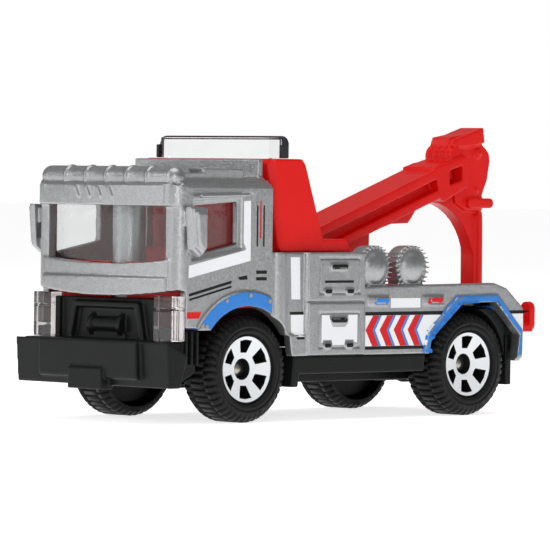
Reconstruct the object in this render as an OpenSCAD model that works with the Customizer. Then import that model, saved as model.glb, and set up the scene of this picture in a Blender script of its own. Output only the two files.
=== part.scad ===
// Toy tow truck: a cast body on a moulded base, four wheels on two wire axles,
// and a boom with a wheel lift that swings up on one pin.
// The truck stands on z = 0 and faces -Y; its own left side is +X.

/* [Overall] */
// Distance between the two axles
wheelbase = 38.9; // [32:0.1:47]
// Front axle to the front of the tow block
front_overhang = 15.4; // [14.6:0.1:18.5]
// Rear axle to the tail of the body
rear_overhang = 10.3; // [9:0.1:12.5]
// Tail of the body to the back of the wheel lift
lift_reach = 6.2; // [5.5:0.1:7.5]
// Body width over the side panels
body_w = 26; // [23:0.1:32]

/* [Wheels] */
// Tyre radius, which is also the height of the axles
tyre_r = 6.5; // [5.4:0.1:7.8]
// Tyre width
tyre_w = 5.5; // [4.6:0.1:6.6]
// Width over the tyres
track_w = 25.6; // [25:0.1:27]
// Radius of the axle wire
axle_r = 0.55; // [0.45:0.01:0.7]
// Radial clearance of a wire or pin in its bore
fit_gap = 0.05; // [0.02:0.01:0.09]
// Radius of the hole in the face of the wheel
hub_hole_r = 1.25; // [1.1:0.05:1.5]
// Radius of the spoked disc
disc_r = 4.05; // [3.6:0.05:4.6]
// Number of windows in the disc
spokes = 6; // [5:1:8]

/* [Cab] */
// Front axle to the front of the cab
cab_nose = 12; // [11:0.1:12.6]
// Front axle to the back of the cab
cab_tail = 3.5; // [3.1:0.1:4.2]
// Wall of the casting
wall = 1.2; // [0.9:0.05:1.5]
// Cab roof above the deck
cab_rise = 13.6; // [11.5:0.1:16.5]
// Bow of the cab front across its width
bow = 0.9; // [0.5:0.05:1.4]
// Thickness of the clear mouldings
glass_t = 0.7; // [0.5:0.05:0.9]
// Radius of the front body post
post_r = 2; // [1.6:0.05:2.4]

/* [Deck] */
// Deck floor above the top of the tyres
deck_rise = 3.1; // [2.6:0.1:4]
// Thickness of the deck floor
floor_t = 1.1; // [0.8:0.05:1.3]
// Length of a tool box
box_len = 9.7; // [8:0.1:11.6]
// Tool box above the deck
box_rise = 4.6; // [3.8:0.1:5.6]
// Radius of a dolly wheel
dolly_r = 2.7; // [2.2:0.05:3.1]
// Headboard above the deck
board_rise = 16; // [14.2:0.1:18.5]

/* [Boom] */
// Width of the boom arm
arm_w = 5.8; // [4.8:0.1:7]
// Depth of the boom arm
arm_d = 3.8; // [3.2:0.1:4.6]
// Slope of the arm when it rests
arm_slope = 19.7; // [16:0.1:22]
// Radius of the boom pivot pin
pin_r = 0.8; // [0.65:0.01:1]
// Gap each side between moving parts
side_gap = 0.3; // [0.2:0.05:0.4]
// Width of the leg
leg_w = 2.4; // [2:0.1:3]
// Half width of the wheel lift
lift_half = 8.6; // [7:0.1:10.4]

/* [Hidden] */

$fn = 48;
eps = 0.01;          // overlap that joins two shapes of one solid
seat = 0.05;         // gap between two pieces that are fitted to each other
cut = 40;            // long enough to cut through anything

// Colours
silver = [0.62, 0.63, 0.65];
black = [0.07, 0.08, 0.08];
red = [0.85, 0.1, 0.09];
clear = [0.85, 0.9, 0.92, 0.4];
charcoal = [0.2, 0.21, 0.23];
steel = [0.6, 0.58, 0.54];

// Stations along the truck
length = front_overhang + wheelbase + rear_overhang + lift_reach;
y_nose = -length / 2;
y_fa = y_nose + front_overhang;
y_ra = y_fa + wheelbase;
y_tail = y_ra + rear_overhang;
y_cab = y_fa - cab_nose;
y_back = y_fa + cab_tail;
y_box = y_back + 6;
y_box_end = y_box + box_len;

lamp_back = y_cab + 1.1;        // back of the headlights

// Heights
z_axle = tyre_r;
z_sill = tyre_r + 1.5;
z_deck = 2 * tyre_r + deck_rise;
z_rail = z_deck + 0.3;
z_box = z_deck + box_rise;
z_roof = z_deck + cab_rise;
z_board = z_deck + board_rise;
z_keel = tyre_r - 2.3;          // underside of the base
z_bumper = z_keel + 5.8;        // top of the bumper
z_skirt = z_bumper + 1.6;       // lower edge of the cab side
z_panel = z_bumper + 5.9;       // lower edge of the front panel at its ends
z_under = z_keel + 1.6;         // lower edge of the side sills

// Half widths
side = body_w / 2;
inner = side - wall;
x_tyre = track_w / 2;
x_hub = x_tyre - tyre_w;        // inner face of the tyres
x_chassis = x_hub - side_gap;   // side of the chassis between the wheels
x_floor = inner - 2.3;          // edge of the deck floor
x_bay = inner - 4.1;            // inner wall of the tool boxes
arch_r = tyre_r + 1.1;
well_r = tyre_r + 0.7;

// An outline in Y and Z, from x0 to x1
module slab(outline, x0, x1) {
    translate([x0, 0, 0]) rotate([90, 0, 90]) linear_extrude(x1 - x0) polygon(outline);
}

// A box given by its two corners
module block(low, high) {
    translate(low) cube(high - low);
}

// A rod along X
module rod(y, z, r, x0, x1) {
    translate([x0, y, z]) rotate([0, 90, 0]) cylinder(h = x1 - x0, r = r);
}

module both_sides() {
    children();
    mirror([1, 0, 0]) children();
}

// A bar along X with round ends in Y and Z
module pill(y0, y1, z0, z1, x0, x1) {
    r = min(y1 - y0, z1 - z0) / 2 - eps;
    rod(y0 + r, z0 + r, r, x0, x1);
    rod(y1 - r, z1 - r, r, x0, x1);
    if (y1 - y0 > z1 - z0) block([x0, y0 + r, z0 + eps], [x1, y1 - r, z1 - eps]);
    else block([x0, y0 + eps, z0 + r], [x1, y1 - eps, z1 - r]);
}

// ---- Body casting ----
front_arch = [y_fa - 0.8, z_axle - 0.4, arch_r + 0.5];   // middle and radius of the front wheel arch
fender_t = 0.35;                          // how far the flares stand out
window = [y_cab + 2.6, y_fa - 2.3];       // front and back of a side window
window_z = [z_deck + 4.2, z_roof - 2.9];  // sill at its front, and head
screen_half = side - 2.5;
screen_sill = z_panel + 3.9;              // lower edge of the windscreen

rear_arch = [[y_ra - arch_r - 0.5, z_sill - 5], [y_ra - arch_r - 0.5, z_sill],
    [y_ra - arch_r + 0.1, z_sill + 2.4], [y_ra - 2.6, z_deck - 1.9], [y_ra + 4, z_deck - 1.7],
    [y_ra + arch_r + 1, z_sill + 2.2], [y_ra + arch_r + 0.5, z_sill - 0.9],
    [y_ra + arch_r + 0.5, z_sill - 5]];

side_outline = [[y_cab + 1.2, z_skirt], [y_cab + 1.2, z_panel + 0.1], [y_cab - 0.2, z_panel + 0.3],
    [y_cab + 0.2, z_roof - 1.9], [y_cab + 1, z_roof - 1.1], [y_back, z_roof - 1.1], [y_back, z_box],
    [y_box_end, z_box], [y_box_end, z_rail], [y_tail - 6.3, z_rail + 0.4],
    [y_tail - 4, z_rail - 0.3], [y_tail - 1.1, z_rail - 2.6], [y_tail, z_rail - 3.8],
    [y_tail, z_sill - 0.1], [y_tail - 1.5, z_sill - 1.2], [y_ra + 7, z_sill - 1.2],
    [y_ra + 7, z_sill], [y_fa + 7, z_sill], [y_fa + 6.6, z_skirt - 1], [y_fa, z_skirt]];

module side_wall() {
    difference() {
        slab(side_outline, inner, side);
        rod(front_arch[0], front_arch[1], front_arch[2], 0, cut);
        slab(rear_arch, 0, cut);
        // side window, with a sill that drops towards the front
        slab([[window[0], window_z[0]], [window[1], window_z[0] + 1.4], [window[1], window_z[1]],
            [window[0], window_z[1] - 0.5]], 0, cut);
        // recessed frame around the window
        slab([[window[0] - 0.6, window_z[0] - 0.6], [window[1] + 0.6, window_z[0] + 0.8],
            [window[1] + 0.6, window_z[1] + 0.6], [window[0] - 0.6, window_z[1] + 0.1]],
            side - 0.25, cut);
        // door shut lines
        block([side - 0.2, y_fa - 0.2, z_skirt + 4.2], [cut, y_fa + 0.05, z_roof - 1.9]);
        block([side - 0.2, y_cab + 1.1, z_panel - 1.2], [cut, y_cab + 1.3, window_z[0] - 1.5]);
        // recess between the cab and the tool box
        block([side - 0.3, y_back + 2.8, z_skirt - 1], [cut, y_box - 0.3, z_box + 1]);
    }
}

module fenders() {
    intersection() {
        difference() {
            rod(front_arch[0], front_arch[1], front_arch[2] + 1.75, side - eps, side + fender_t);
            rod(front_arch[0], front_arch[1], front_arch[2], 0, cut);
        }
        block([0, y_fa - 9.2, z_skirt - 0.3], [cut, y_back - 0.3, z_deck]);
    }
    difference() {
        slab([[y_ra - arch_r - 1.3, z_sill], [y_ra - arch_r - 0.7, z_sill + 2.7], [y_ra - 3, z_deck - 1.1],
            [y_ra + 4.4, z_deck - 0.9], [y_ra + arch_r + 1.9, z_sill + 2.4],
            [y_ra + arch_r + 1.3, z_sill - 0.9], [y_ra + arch_r + 0.5, z_sill - 0.9],
            [y_ra + arch_r + 0.5, z_sill]], side - eps, side + fender_t);
        slab(rear_arch, 0, cut);
    }
}

// Plan of a plate that bows forward across the cab, t thick
function bow_y(x) = y_cab - bow * (1 - pow(x / side, 2));
module bowed(half, t, z0, z1) {
    steps = 7;
    front = [for (i = [-steps:steps]) [half * i / steps, bow_y(half * i / steps)]];
    back = [for (i = [steps:-1:-steps]) [half * i / steps, bow_y(half * i / steps) + t]];
    translate([0, 0, z0]) linear_extrude(z1 - z0) polygon(concat(front, back));
}

// What lies outside two rounded front corners of the cab
module off_corners(front, r, z0, z1) {
    both_sides() difference() {
        block([side - r, front - 2, z0], [side + 1, front + r, z1]);
        translate([side - r, front + r, z0 - 1]) cylinder(h = z1 - z0 + 2, r = r);
    }
}

// The lower cab front, whose edges sag towards the middle
module cab_front() {
    steps = 7;
    low = [for (i = [-steps:steps]) [side * i / steps, z_panel + 0.3 - 0.9 * (1 - pow(i / steps, 2))]];
    high = [for (i = [steps:-1:-steps])
        [side * i / steps, screen_sill + 0.2 - 0.8 * (1 - pow(i / steps, 2))]];
    intersection() {
        bowed(side, wall, z_panel - 3, screen_sill + 1);
        translate([0, y_cab + 3, 0]) rotate([90, 0, 0]) linear_extrude(7) polygon(concat(low, high));
    }
    // lip that stands forward along the lower edge
    intersection() {
        translate([0, -0.3, 0]) bowed(side - 0.5, wall, z_panel - 3, z_panel + 1.7);
        translate([0, y_cab + 3, 0]) rotate([90, 0, 0]) linear_extrude(7) polygon(concat(low, high));
    }
}

module pillars() {
    block([screen_half, y_cab - 0.05, z_panel + 3], [side, y_cab + wall, z_roof - 2.6]);
}

module brow() {
    translate([0, -0.45, 0]) bowed(side, wall + 0.6, z_roof - 3.5, z_roof - 1);
    slab([[y_cab - 0.9, z_roof - 1.05], [y_cab + 1.5, z_roof - 1.05], [y_cab + 1.5, z_roof - 0.4],
        [y_cab - 0.2, z_roof - 0.6]], -side + 1.2, side - 1.2);
}

module roof() {
    // stepped shoulders, from the highest to the widest
    for (step = [[1.5, 0], [0.8, 0.3], [0.3, 0.7]])
        block([-side + step[0], y_cab + 0.6, z_roof - wall - 0.3],
            [side - step[0], y_back, z_roof - step[1]]);
    // deflector across the back of the roof
    block([-side + 1.9, y_back - 0.8, z_roof - eps], [side - 1.9, y_back, z_board - 0.1]);
    both_sides() {
        slab([[y_fa - 7.6, z_roof + 1.1], [y_fa - 6.7, z_roof - 0.5], [y_fa - 0.2, z_roof - 0.5],
            [y_fa - 0.8, z_roof + 1.1]], side - 3.6, side - 1);
        block([side - 2, y_cab + 1.6, z_roof - 0.5], [side - 1, y_fa - 7, z_roof + 0.55]);
    }
}

// Lamp bar over the windscreen, with round ends
module roof_bar() {
    r = 1.3;
    half = side - 0.75 - r;
    lamps = 6;
    pitch = 2 * half / lamps;
    z = z_roof - 0.05;
    rod(y_cab + 0.9, z, r, -half, half);
    both_sides() translate([half, y_cab + 0.9, z]) sphere(r = r);
    // ridges between the lamps
    for (i = [1:lamps - 1]) {
        x = -half + i * pitch;
        rod(y_cab + 0.9, z, r + 0.15, x - 0.15, x + 0.15);
    }
}

module mirrors() {
    head = z_deck + 10.1;
    foot = window_z[0] + 0.8;
    both_sides() {
        // each layer is set in from the one inside it, which rounds the back of the mirror
        for (layer = [[0, 0.6, 1.5], [0.3, 1.4, 1.95], [0.7, 1.9, 2.3]])
            slab([[y_cab + 0.2 + layer[0], head - layer[0]], [y_cab + 3.1 - layer[0], head - 0.1 - layer[0]],
                [y_cab + 3.1 - layer[0], foot + layer[0]], [y_cab + 2, foot - 1 + layer[0]],
                [y_cab + 0.6 + layer[0], foot + layer[0]]], side + layer[1], side + layer[2]);
        block([side - 1, y_cab + 1, head - 2.3], [side + 0.7, y_cab + 2.1, head - 0.6]);
        block([side - 0.6, y_cab + 1.4, foot - 0.2], [side + 0.7, y_cab + 2.1, foot + 0.8]);
    }
}

// Column, tool boxes and dolly wheels, on the left side
module side_gear() {
    // exhaust column behind the cab
    difference() {
        intersection() {
            translate([side - 0.85, y_back + 1.35, z_skirt - 1]) cylinder(h = z_box - z_skirt + 1, r = 1.35);
            block([inner + 0.2, y_back - 1, 0], [cut, y_back + 3.1, cut]);
        }
        rod(front_arch[0], front_arch[1], front_arch[2], 0, cut);
    }
    tool_box();
    for (i = [0:1]) dolly_wheel(y_box_end + dolly_r + 0.15 + i * (2 * dolly_r + 1.25));
}

module tool_box() {
    door_gap = 0.25;
    front = [y_box + 2, y_box_end - 1.1];
    // bottom and top of each box, and how far the door is kept below the usual height
    doors = [[z_sill + 0.1, z_deck - 1.6, 0.45], [z_deck - 1.35, z_box, 0]];
    for (d = doors) {
        difference() {
            block([side - eps, y_box, d[0]], [side + fender_t, y_box_end, d[1]]);
            block([side + 0.12, front[0] - door_gap, d[0] + 0.8],
                [cut, front[1] + door_gap, d[1] - d[2] - 0.65]);
        }
        block([side - eps, front[0], d[0] + 1.05], [side + 0.32, front[1], d[1] - d[2] - 0.9]);
        // handle and two latches
        pill(front[0] + 1.7, front[1] - 2, d[1] - d[2] - 2.1, d[1] - d[2] - 1.4, side, side + 0.55);
        for (y = [front[0] + 0.55, front[1] - 2.25])
            pill(y, y + 1.35, d[0] + 0.85, d[0] + 1.45, side, side + 0.5);
    }
    // top, back and inner walls
    block([x_bay, y_back, z_box - wall], [inner + eps, y_box_end, z_box]);
    block([x_bay, y_box_end - wall, z_deck - 2], [inner + eps, y_box_end, z_box - eps]);
    block([x_bay, y_back, z_deck - 2], [x_bay + 0.8, y_box_end, z_box - eps]);
}

module dolly_wheel(y) {
    z = z_rail + dolly_r - 0.3;
    hub_r = dolly_r - 0.6;
    dome = 0.9;
    ball = (hub_r * hub_r + dome * dome) / (2 * dome);
    translate([side - 3.1, y, z]) rotate([90, 0, 90]) rotate_extrude() {
        square([dolly_r, 2.1]);
        square([dolly_r - 0.3, 2.35]);
        intersection() {
            translate([0, 2.35 + dome - ball]) circle(r = ball, $fn = 96);
            translate([0, 2.3]) square([hub_r, 1]);
        }
    }
    // foot that joins it to the rail
    block([side - 3, y - dolly_r * 0.8, z_rail - 1], [side - 1.1, y + dolly_r * 0.8, z]);
}

module rails() {
    both_sides() difference() {
        slab([[y_box_end - 1, z_rail - 1.5], [y_box_end - 1, z_rail], [y_tail - 6.3, z_rail + 0.3],
            [y_tail - 4.2, z_rail - 0.4], [y_tail - 4.2, z_rail - 1.5]], x_floor + seat, inner + eps);
    }
}

// Sloping tail with two lamp recesses; the rear post hangs from its front edge
module tail_panel() {
    difference() {
        slab([[y_tail - 5.4, z_rail - 1.5], [y_tail - 5.4, z_rail - 0.5], [y_tail - 4, z_rail - 0.5],
            [y_tail - 1.1, z_rail - 2.7], [y_tail, z_rail - 3.8], [y_tail, z_sill], [y_tail - wall, z_sill],
            [y_tail - wall, z_rail - 4.2], [y_tail - 4.4, z_rail - 1.7]], -inner - eps, inner + eps);
        both_sides() block([inner - 4.4, y_tail - 0.4, z_sill + 1.6], [inner - 0.8, cut, z_sill + 3.2]);
    }
}

// Side marker: a wedge with a small lens
module marker(y) {
    slab([[y, z_deck - 1.9], [y + 3.5, z_deck - 1.9], [y + 3.5, z_deck - 0.95], [y, z_deck - 0.95]],
        side - eps, side + 0.2);
    pill(y + 1, y + 3.4, z_deck - 1.8, z_deck - 1.05, side, side + 0.45);
}

front_post_y = y_cab + wall + glass_t + 3 * seat + post_r;
rear_post_y = y_tail - 4.4;
rear_post_r = 1.3;
boss_z = z_keel + 1;        // floor of the base around a post
head_t = 0.5;

// A post whose end is spun over under the base
module post(y, r, top) {
    translate([0, y, boss_z - head_t]) cylinder(h = top - boss_z + head_t, r = r * 0.6);
    translate([0, y, z_sill - 1]) cylinder(h = top - z_sill + 1, r = r);
    translate([0, y, boss_z - seat - head_t]) cylinder(h = head_t, r = r * 0.85);
}

module body_casting() {
    color(silver) {
        difference() {
            union() {
                difference() {
                    union() {
                        both_sides() {
                            side_wall();
                            pillars();
                        }
                        cab_front();
                    }
                    off_corners(y_cab - 0.15, 1.9, z_skirt - 1, z_roof);
                }
                difference() {
                    brow();
                    off_corners(y_cab - 0.6, 2.2, z_roof - 4, z_roof);
                }
                both_sides() {
                    fenders();
                    side_gear();
                    marker(y_box_end + 0.9);
                    marker(y_ra - 9);
                    // back of the cab
                    block([0, y_back - wall, z_deck + 1], [inner + eps, y_back, z_deck + 4.6]);
                    block([side - 5, y_back - wall, z_deck + 4], [inner + eps, y_back, z_roof - 2]);
                }
                block([-inner - eps, y_back - wall, z_roof - 3], [inner + eps, y_back, z_roof - 0.9]);
                roof();
                roof_bar();
                mirrors();
                rails();
                tail_panel();
            }
            // chamfered tail corners
            both_sides() translate([side + fender_t, y_tail, 0]) rotate(45) translate([-0.9, -cut / 2, 0])
                cube([cut, cut, cut]);
        }
        post(front_post_y, post_r, z_roof - wall + eps);
        post(rear_post_y, rear_post_r, z_rail - 1.2);
    }
}

// ---- Base ----
module bumper() {
    half = side + 0.7;
    front = y_nose + 1;
    panel_half = side - 4.2;
    slab([[front, z_bumper], [front + 0.4, z_keel + 0.25], [front + 3.4, z_keel + 0.25],
        [front + 3.4, z_bumper]], -panel_half, panel_half);
    both_sides() {
        slab([[front, z_bumper - 0.05], [front + 0.4, z_keel + 0.25], [front + 2.2, z_keel + 0.25],
            [front + 3.4, z_bumper - 1.6], [front + 1, z_bumper - 0.5]], panel_half - eps, half);
        block([panel_half - 1, front + 0.4, z_keel + 0.25], [side - 0.6, front + 3.4, z_bumper]);
    }
    // raised middle panel
    slab([[front - 0.7, z_bumper], [front - 0.55, z_keel + 1.3], [front - 0.2, z_keel + 1.1],
        [front + 0.5, z_keel + 1.1], [front + 0.5, z_bumper]], -panel_half, panel_half);
    // tow block
    block([-3, y_nose, z_keel - 0.2], [3, front + 1, z_keel + 2.4]);
}

module grille() {
    half = side - 3.85;
    frame_t = 0.7;
    top = z_panel - 0.9;
    face = y_cab - 0.1;
    back = y_cab + 1.4;
    block([-half, face + 0.7, z_bumper - eps], [half, back, top]);
    both_sides() {
        // upright next to the lamp, and a slanted bar
        block([half - 0.8, face, z_bumper - eps], [half, back, top]);
        translate([0, face + 0.8, 0]) rotate([90, 0, 0]) linear_extrude(0.9)
            polygon([[half - 2.2, z_bumper], [half - 3.1, z_bumper], [half - 4, top - 0.7],
                [half - 3.1, top - 0.7]]);
    }
    block([-half + 3.4, face - 0.1, top - 1.2], [half - 3.4, back, top - 0.5]);
    // winch in the middle
    block([-3.4, face + 0.2, z_bumper - eps], [3.4, back, z_bumper + 0.7]);
    intersection() {
        union() {
            rod(face + 0.8, z_bumper + 1.7, 0.95, -2.2, 2.2);
            both_sides() rod(face + 0.8, z_bumper + 1.7, 1.3, 2.2, 3);
        }
        block([-half, y_nose, z_bumper], [half, back, top]);
    }
}

// Chassis under one axle, with its liner over the tyres
module axle_station(y, top) {
    reach = arch_r + 0.9;
    liner_end = y_tail - 3;
    block([-x_chassis, y - reach, z_keel + 0.8], [x_chassis, y + reach, z_sill - seat]);
    rod(y, z_axle, 2.3, -x_chassis, x_chassis);
    // ribs that stiffen the housing
    both_sides() for (x = [2, 4.4]) slab([[y - 5, z_keel + 0.8], [y - 1.8, z_axle - 2.6],
        [y + 1.8, z_axle - 2.6], [y + 5, z_keel + 0.8], [y, z_axle + 0.5]], x, x + 0.7);
    if (top > 0) difference() {
        block([-inner + seat, y - reach, z_sill - 1], [inner - seat, liner_end, top]);
        both_sides() rod(y, z_axle, well_r + 0.1, x_chassis, cut);
        block([-x_chassis + 1, y - reach - 1, z_sill - seat], [x_chassis - 1, y + reach + 1, cut]);
    }
}

module base_plate() {
    liner_top = z_deck - floor_t - 1.5;
    tread_pitch = (y_fa - arch_r - y_nose - 6) / 2;     // three treads fill the step
    color(black) difference() {
        union() {
            bumper();
            grille();
            // floor between the axles, with the side sills
            block([-x_chassis, y_nose + 4, z_keel + 0.3], [x_chassis, y_tail - 1.6, z_keel + 1.9]);
            block([-inner + seat, y_fa + arch_r, z_under + 0.1],
                [inner - seat, y_ra - arch_r - 1.2, z_under + 1]);
            both_sides() {
                // sill, with a deeper foot behind the front tyre
                slab([[y_fa + arch_r - 0.5, z_keel], [y_fa + arch_r - 0.1, z_sill - seat],
                    [y_ra - arch_r - 0.7, z_sill - seat], [y_ra - arch_r - 0.9, z_under],
                    [y_fa + arch_r + 0.9, z_under], [y_fa + arch_r + 0.7, z_keel]],
                    inner - 2, side - 0.2);
                // step ahead of the front wheel
                slab([[y_nose + 4, z_keel + 0.3], [y_nose + 4, z_bumper], [lamp_back + seat, z_bumper],
                    [lamp_back + seat, z_skirt - 0.2], [y_fa - arch_r - 0.6, z_skirt - 0.2],
                    [y_fa - arch_r - 0.3, z_keel + 2]], x_chassis - 1, inner - seat);
                for (i = [0:2]) block([inner - seat - eps, y_nose + 4.7 + i * tread_pitch, z_keel + 3],
                    [side - 0.1, y_nose + 5.1 + i * tread_pitch, z_skirt - 0.3]);
                // mud flap
                block([x_hub + 0.4, y_tail - wall - 1.1, z_keel - 0.5],
                    [inner - 0.4, y_tail - wall - seat, z_sill + 2]);
                block([x_chassis - 1, y_tail - wall - 1.1, z_keel + 0.4],
                    [x_hub + 0.5, y_tail - wall - seat, z_keel + 1.9]);
            }
            axle_station(y_fa, 0);
            axle_station(y_ra, liner_top);
            for (p = posts()) translate([0, p[0], z_keel + 0.1])
                cylinder(h = z_sill - z_keel - 1.2, r = p[1] + 0.7);
        }
        // axle bores, post bores and their counterbores
        for (y = [y_fa, y_ra]) rod(y, z_axle, axle_r + fit_gap, -cut, cut);
        for (p = posts()) translate([0, p[0], 0]) {
            cylinder(h = cut, r = p[1] * 0.6 + seat);
            cylinder(h = boss_z, r = p[1] * 0.85 + seat);
            translate([0, 0, z_sill - 1 - seat]) cylinder(h = cut, r = p[1] + seat);
        }
    }
}

function posts() = [[front_post_y, post_r], [rear_post_y, rear_post_r]];

// ---- Clear mouldings ----
module window_insert() {
    low = screen_sill - 1.3;
    top = z_roof - wall - seat - 0.35;
    out = inner - seat;
    y0 = y_cab + wall + seat;
    y1 = y_back - wall - seat;
    color(clear) difference() {
        block([-out, y0, low], [out, y1, top]);
        block([-out + glass_t, y0 + glass_t, low - 1], [out - glass_t, y1 + 1, top + 1]);
    }
}

module headlight() {
    x0 = side - 3.8;
    face = y_cab - 0.65;
    z0 = z_bumper + seat;
    split = z_bumper + 3.7;
    top = z_panel - seat;
    // two lamps stacked in one clear block, with a bevelled outer corner
    for (z = [[z0, split], [split + 0.25, top - 0.4]]) translate([0, 0, z[0]]) linear_extrude(z[1] - z[0])
        polygon([[x0, face], [side - 0.6, face], [side - 0.1, face + 0.6], [side - 0.1, lamp_back],
            [x0, lamp_back]]);
    block([x0 + 0.2, face + 0.2, z0 + 0.2], [side - 0.3, lamp_back, top - 0.5]);
}

module headlight_left() {
    color(clear) headlight();
}

module headlight_right() {
    color(clear) mirror([1, 0, 0]) headlight();
}

// ---- Light bar ----
bar_y = y_back + 2.6;
bar_half = side - 1.7;
bar_h = 2.75;
bar_z = z_board + seat;

module light_bar_frame() {
    r = 1.1;
    h = bar_h;
    rim = 0.45;
    post_w = 0.75;
    color(charcoal) {
        translate([0, bar_y + 1.6, bar_z]) rotate([90, 0, 0]) linear_extrude(0.6) difference() {
            union() {
                translate([-bar_half + r, 0]) square([2 * bar_half - 2 * r, h]);
                translate([-bar_half, 0]) square([2 * bar_half, h - r]);
                for (s = [-1, 1]) translate([s * (bar_half - r), h - r]) circle(r = r);
            }
            translate([-bar_half + post_w, -eps]) square([2 * bar_half - 2 * post_w, h - rim]);
        }
        both_sides() block([bar_half - 0.5, bar_y + 0.35, bar_z], [bar_half, bar_y + 1.2, bar_z + h - r]);
    }
}

module light_bar_lens() {
    out = bar_half - 0.6;
    face = bar_half - 3.3;
    back = bar_y + 0.95;
    low = bar_half - 2.3;
    color(clear) {
        translate([0, 0, bar_z]) linear_extrude(bar_h - 0.2) polygon([[-out, back], [-out, bar_y + 0.6],
            [-face, bar_y], [face, bar_y], [out, bar_y + 0.6], [out, back]]);
        // skirt that hangs between the towers
        translate([0, 0, bar_z - 1.2]) linear_extrude(1.2 + eps) polygon([[-low, back],
            [-low, bar_y + 0.25], [-face, bar_y], [face, bar_y], [low, bar_y + 0.25], [low, back]]);
    }
}

// ---- Interior ----
module cab_interior() {
    out = inner - glass_t - 2 * seat;
    y0 = y_cab + wall + glass_t + 2 * seat;
    y1 = y_back - wall - seat;
    dash_z = screen_sill - 0.4;
    seat_z = z_deck + 1.6;
    fire_wall = y0 + 1.5;
    color(red) difference() {
        union() {
            block([-out, fire_wall, z_deck - 2.2], [out, y1, z_deck - 1.2]);
            // dash with a hood over the dials
            slab([[y0, z_deck - 1.3], [y0, dash_z], [y0 + 1.3, dash_z], [y0 + 2.2, dash_z - 0.9],
                [y0 + 2.2, z_deck - 1.3]], -out, out);
            both_sides() {
                block([1.6, y_fa - 3.6, z_deck - 1.3], [out - 0.5, y1 - 0.8, seat_z]);
                slab([[y1 - 2, seat_z - eps], [y1 - 0.8, seat_z - eps], [y1 - 0.4, z_deck + 5],
                    [y1 - 1.4, z_deck + 5]], 1.6, out - 0.5);
            }
            // front wall behind the headlights
            block([-out, fire_wall, z_skirt], [out, fire_wall + 0.8, z_deck - 1.7]);
            // steering wheel on its column
            translate([side / 2 - 1, y0 + 2.6, dash_z - 0.9]) rotate([60, 0, 0]) {
                rotate_extrude() translate([1.3, 0]) circle(r = 0.22, $fn = 24);
                translate([0, 0, -1.6]) cylinder(h = 1.8, r = 0.3);
                translate([-1.3, -0.15, -0.15]) cube([2.6, 0.3, 0.3]);
            }
        }
        // hole for the body post, open to the front
        translate([0, front_post_y, 0]) cylinder(h = cut, r = post_r + seat);
        block([-post_r * 0.7, y_cab, 0], [post_r * 0.7, front_post_y, cut]);
    }
}

// ---- Headboard and deck ----
pivot_y = y_back + 9.5;
pivot_z = z_deck + 2.5;
bay_half = arm_w / 2 + side_gap;       // half width of the slot for the boom
ear_t = 1.4;

module deck_insert() {
    out = side - 1.4;
    slab_z = z_box + seat;
    deck_end = rear_post_y - rear_post_r - 2 * seat;
    ledge_t = 1.55;
    y0 = y_back + 0.95;
    lean = 1.5;              // how far the front of a tower runs back towards its foot
    chamfer = 0.6;
    tower_w = 2.4;
    profile = [[y0 + lean + 0.4, slab_z], [y0 + lean, slab_z + 0.5], [y0, z_board - 0.6],
        [y0 + 0.5, z_board], [y0 + 5.3, z_board], [y0 + 5.9, z_board - 0.7], [y0 + 9.6, slab_z]];
    color(red) difference() {
        union() {
            // two towers, the front wall between them and the top that carries the light bar
            both_sides() difference() {
                slab(profile, out - tower_w, out);
                // bevel on the front outer corner
                translate([out, y0, z_board]) rotate([atan(lean / board_rise), 0, 0]) rotate(-45)
                    translate([-chamfer, -cut / 2, -cut]) cube([cut, cut, 2 * cut]);
            }
            block([-out + 1, y0 + lean, slab_z], [out - 1, y0 + lean + 1.2, z_board - 3.8]);
            block([-out + 1, y0 + 2.65, z_board - 1.6], [out - 1, y0 + 5.2, z_board]);
            // ledge over the tool boxes
            both_sides() slab([[y0 + lean + 0.4, slab_z], [y0 + lean + 0.4, slab_z + ledge_t],
                [y_box_end - 1.6, slab_z + ledge_t], [y_box_end - 0.6, slab_z]], bay_half, out);
            // ears that hold the boom pin
            both_sides() {
                slab([[pivot_y - 3.5, z_deck - 0.5], [pivot_y - 3.5, slab_z + 0.5],
                    [pivot_y + 3.5, slab_z + 0.5], [pivot_y + 3.5, z_deck - 0.5]],
                    bay_half, bay_half + ear_t);
            }
            // deck floor with anti-slip ribs
            block([-x_bay + seat, y_back + 1, z_deck - floor_t], [x_bay - seat, y_box_end + 1, z_deck]);
            block([-x_floor, y_box_end + seat, z_deck - floor_t], [x_floor, deck_end, z_deck]);
            both_sides() for (y = [y_box_end + 2:1.6:y_tail - 7]) block([2.2, y, z_deck - eps],
                [x_floor - 1, y + 0.5, z_deck + 0.15]);
        }
        rod(pivot_y, pivot_z, pin_r + seat, -cut, cut);
    }
}

// ---- Boom ----
foot_y = y_tail + 2.3;        // front of the leg behind the tail
leg_d = 1.8;
head_z = z_deck + 20.6;
slope = tan(arm_slope);
function arm_z(y) = pivot_z + (y - pivot_y) * slope;      // centre line of the arm
half_d = arm_d / 2 / cos(arm_slope);

// The stretch of the arm between y0 and y1, from low to high about its centre line
function arm_strip(y0, y1, low, high) = [[y0, arm_z(y0) + low], [y0, arm_z(y0) + high],
    [y1, arm_z(y1) + high], [y1, arm_z(y1) + low]];

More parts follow.
